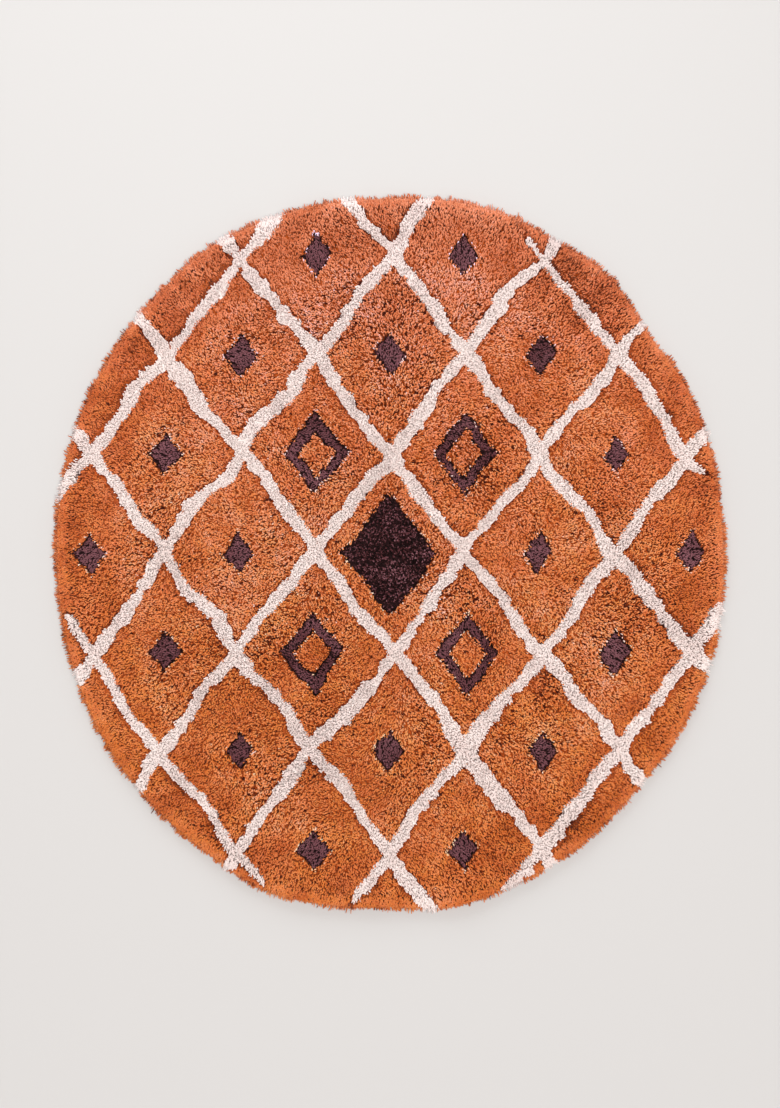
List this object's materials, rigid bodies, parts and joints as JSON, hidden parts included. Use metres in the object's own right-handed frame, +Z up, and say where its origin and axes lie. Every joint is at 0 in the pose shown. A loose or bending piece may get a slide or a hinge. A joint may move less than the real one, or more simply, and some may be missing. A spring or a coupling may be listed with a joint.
{
  "type": "oval tufted shag rug",
  "caption": "Flat oval shag rug: dense curly cut pile in rust, cream and dark brown, with an uneven, shaggy rim.",
  "frame": {"origin": "on the floor under the middle of the rug", "axes": "+Z up, out of the pile; +Y along the rug's longer side"},
  "size_m": [1.13, 1.2004, 0.0263],
  "materials": {
    "pile": "matt, curly cut cotton pile"
  },
  "bodies": {
    "root": {"rug": "pile"}
  },
  "joints": []
}
